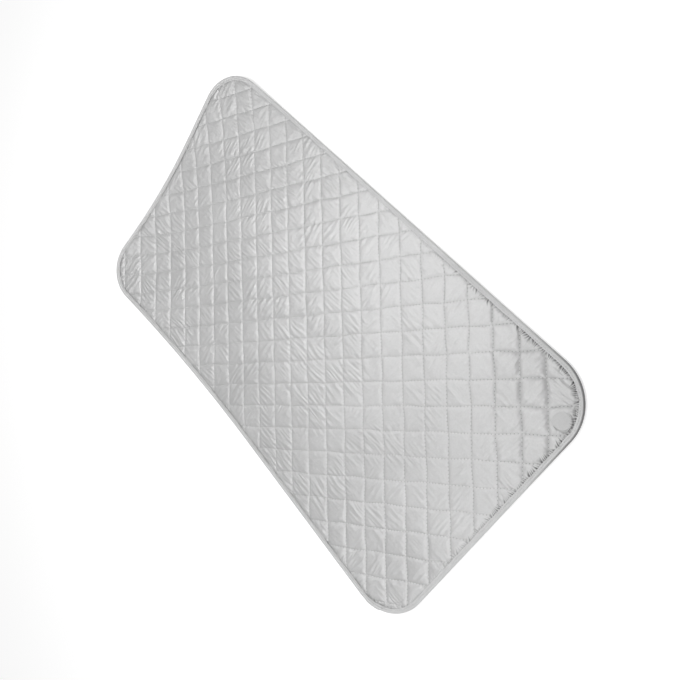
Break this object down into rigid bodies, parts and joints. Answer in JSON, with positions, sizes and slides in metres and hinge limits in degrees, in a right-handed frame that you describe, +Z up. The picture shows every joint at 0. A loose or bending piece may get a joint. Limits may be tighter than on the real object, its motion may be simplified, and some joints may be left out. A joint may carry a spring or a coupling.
{
  "type": "quilted ironing pad",
  "caption": "Flat quilted ironing pad with a coated cloth face in diamonds, soft padding, a bound edge with rounded corners and disc magnets sewn into the corners.",
  "frame": {"origin": "middle of the bound outline, on the table that the underside lies on", "axes": "+X along the length towards the end that lies flat, +Y across the width towards the back edge, +Z up from the table"},
  "size_m": [0.83, 0.46, 0.0412],
  "materials": {
    "face_cloth": "silver-grey coated cotton twill with a faint sheen, quilted in diamonds",
    "wadding": "white polyester wadding",
    "felt": "off-white needled felt",
    "back_cloth": "plain light grey woven backing",
    "binding_tape": "folded silver-grey tape with one row of stitches",
    "magnet_plating": "nickel-plated disc"
  },
  "bodies": {
    "root": {"face_cover": "face_cloth", "upper_wadding": "wadding", "lower_felt": "felt", "back_cover": "back_cloth", "edge_binding": "binding_tape", "corner_magnet_front_left": "magnet_plating", "corner_magnet_front_right": "magnet_plating", "corner_magnet_back_right": "magnet_plating", "corner_magnet_back_left": "magnet_plating"}
  },
  "joints": []
}
